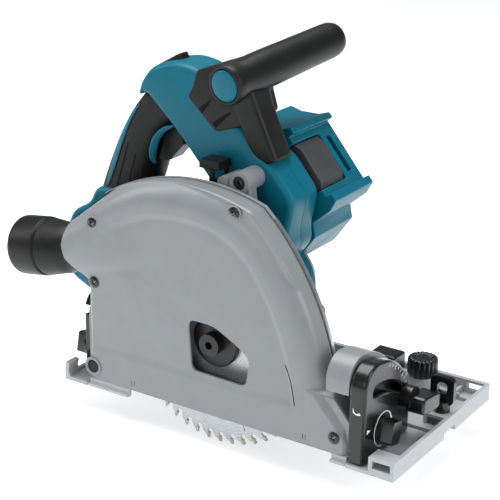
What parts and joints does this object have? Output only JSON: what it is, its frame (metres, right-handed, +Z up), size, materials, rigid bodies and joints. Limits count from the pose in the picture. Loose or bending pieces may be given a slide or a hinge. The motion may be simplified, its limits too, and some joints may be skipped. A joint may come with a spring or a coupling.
{
  "type": "track plunge saw",
  "caption": "Cordless track plunge saw: grooved base with bevel quadrants, tilting blade case, plunging geared saw unit with looped rear handle and round front handle.",
  "frame": {"origin": "on the sole, in the blade's middle plane, straight below the plunge pivot", "axes": "+X forwards along the cut, +Y towards the motor side, +Z up from the sole"},
  "size_m": [0.3557, 0.176, 0.2962],
  "materials": {
    "cast_aluminium": "powder-coated casting",
    "black_plastic": "fine moulded texture",
    "rubber": "soft overmould",
    "teal_plastic": "satin moulded",
    "steel": "ground",
    "black_steel": "black oxide"
  },
  "bodies": {
    "base": {"base_plate": "cast_aluminium", "front_quadrant": "black_plastic", "rear_quadrant": "black_plastic", "quadrant_screws": "steel"},
    "front_dial": {"front_stop_dial": "black_plastic"},
    "rear_dial": {"rear_stop_dial": "black_plastic"},
    "front_rule_screw": {"front_rule_screw": "black_plastic"},
    "rear_rule_screw": {"rear_rule_screw": "black_plastic"},
    "front_rail_knob": {"front_rail_knob": "black_plastic"},
    "rear_rail_knob": {"rear_rail_knob": "black_plastic"},
    "slide_lever": {"slide_lever": "black_plastic"},
    "case": {"case_cover": "cast_aluminium", "case_seal": "rubber", "case_inner_wall": "cast_aluminium", "depth_scale": "steel", "edge_runners": "cast_aluminium", "front_bracket": "cast_aluminium", "rear_bracket": "cast_aluminium", "clamp_bolts": "steel", "pivot_pin": "steel", "cover_screws": "black_steel"},
    "front_clamp": {"front_clamp_knob": "black_plastic"},
    "rear_clamp": {"rear_clamp_knob": "black_plastic"},
    "nozzle": {"dust_nozzle": "rubber"},
    "depth_stop": {"depth_stop": "black_plastic"},
    "unit": {"gear_housing": "cast_aluminium", "boss_screw": "steel", "torsion_spring": "steel", "motor_housing": "teal_plastic", "motor_end_cap": "cast_aluminium", "stator": "steel", "motor_bearings": "steel", "spindle_bearings": "steel", "handle_shell_near": "teal_plastic", "handle_shell_far": "teal_plastic", "rear_grip": "rubber", "switch_body": "black_plastic", "controller": "black_plastic", "battery_housing": "teal_plastic", "front_terminal_block": "black_plastic", "rear_terminal_block": "black_plastic", "front_handle": "black_plastic", "handle_end_cap": "teal_plastic", "handle_screws": "black_steel"},
    "trigger": {"trigger": "black_plastic"},
    "lock_off": {"lock_off_button": "black_plastic"},
    "speed_dial": {"speed_dial": "black_plastic"},
    "change_lever": {"change_lever": "black_plastic"},
    "spindle": {"spindle": "steel", "drive_gear": "steel", "inner_flange": "steel", "outer_flange": "black_steel", "arbor_bolt": "black_steel", "saw_blade": "steel"},
    "rotor": {"rotor_shaft": "steel", "rotor_core": "steel", "fan": "black_plastic", "pinion": "steel"}
  },
  "joints": [
    {"name": "bevel_tilt", "type": "hinge", "parent": "base", "child": "case", "pos_m": [0, 0, 0], "axis": [1, 0, 0], "range_deg": [-1, 48]},
    {"name": "plunge", "type": "hinge", "parent": "case", "child": "unit", "pos_m": [0, 0, 0.017], "axis": [0, 1, 0], "range_deg": [-13, 17.4]},
    {"name": "blade_spin", "type": "hinge", "parent": "unit", "child": "spindle", "pos_m": [0.1071, 0, 0.0605], "axis": [0, 1, 0], "continuous": true},
    {"name": "rotor_spin", "type": "hinge", "parent": "unit", "child": "rotor", "pos_m": [0.11, 0.05, 0.08634], "axis": [0, 1, 0], "continuous": true},
    {"name": "trigger_pull", "type": "hinge", "parent": "unit", "child": "trigger", "pos_m": [0.04, 0.0555, 0.2045], "axis": [0, 1, 0], "range_deg": [0, 8], "stiffness_Nm_per_rad": 0.6, "springref_deg": -8.59},
    {"name": "lock_off_press", "type": "slide", "parent": "unit", "child": "lock_off", "axis": [0.4907, 0, -0.8713], "range_m": [0, 0.0025], "stiffness_N_per_m": 400, "springref_m": -0.003},
    {"name": "speed_dial_turn", "type": "hinge", "parent": "unit", "child": "speed_dial", "pos_m": [-0.0705, 0.0555, 0.084], "axis": [1, 0, 0], "range_deg": [0, 300]},
    {"name": "change_lever_swing", "type": "hinge", "parent": "unit", "child": "change_lever", "pos_m": [0.091, 0.017, 0.161], "axis": [0, 1, 0], "range_deg": [-30, 0]},
    {"name": "nozzle_swivel", "type": "hinge", "parent": "case", "child": "nozzle", "pos_m": [-0.04361, -0.001, 0.1021], "axis": [-0.9901, 0, -0.14], "continuous": true},
    {"name": "depth_stop_travel", "type": "hinge", "parent": "case", "child": "depth_stop", "pos_m": [0, 0.016, 0.017], "axis": [0, 1, 0], "range_deg": [0, 12]},
    {"name": "front_clamp_turn", "type": "hinge", "parent": "case", "child": "front_clamp", "pos_m": [0.245, 0.04151, 0.03608], "axis": [1, 0, 0], "range_deg": [0, 70]},
    {"name": "rear_clamp_turn", "type": "hinge", "parent": "case", "child": "rear_clamp", "pos_m": [-0.026, 0.04151, 0.03608], "axis": [1, 0, 0], "range_deg": [0, 70]},
    {"name": "front_dial_turn", "type": "hinge", "parent": "base", "child": "front_dial", "pos_m": [0.24, 0.01, 0.022], "axis": [1, 0, 0], "range_deg": [0, 90]},
    {"name": "rear_dial_turn", "type": "hinge", "parent": "base", "child": "rear_dial", "pos_m": [-0.02, 0.01, 0.022], "axis": [1, 0, 0], "range_deg": [0, 90]},
    {"name": "front_rule_screw_turn", "type": "hinge", "parent": "base", "child": "front_rule_screw", "pos_m": [0.255, 0.075, 0.02], "axis": [0, 0, 1], "range_deg": [-180, 180]},
    {"name": "rear_rule_screw_turn", "type": "hinge", "parent": "base", "child": "rear_rule_screw", "pos_m": [-0.007, 0.075, 0.02], "axis": [0, 0, 1], "range_deg": [-180, 180]},
    {"name": "front_rail_knob_turn", "type": "hinge", "parent": "base", "child": "front_rail_knob", "pos_m": [0.224, 0.103, 0.03], "axis": [0, 0, 1], "range_deg": [-90, 90]},
    {"name": "rear_rail_knob_turn", "type": "hinge", "parent": "base", "child": "rear_rail_knob", "pos_m": [0.04, 0.103, 0.03], "axis": [0, 0, 1], "range_deg": [-90, 90]},
    {"name": "slide_lever_travel", "type": "slide", "parent": "base", "child": "slide_lever", "axis": [1, 0, 0], "range_m": [0, 0.008]}
  ],
  "couplings": [
    {"joint": "rotor_spin", "follows": "blade_spin", "ratio": -2.4667}
  ]
}
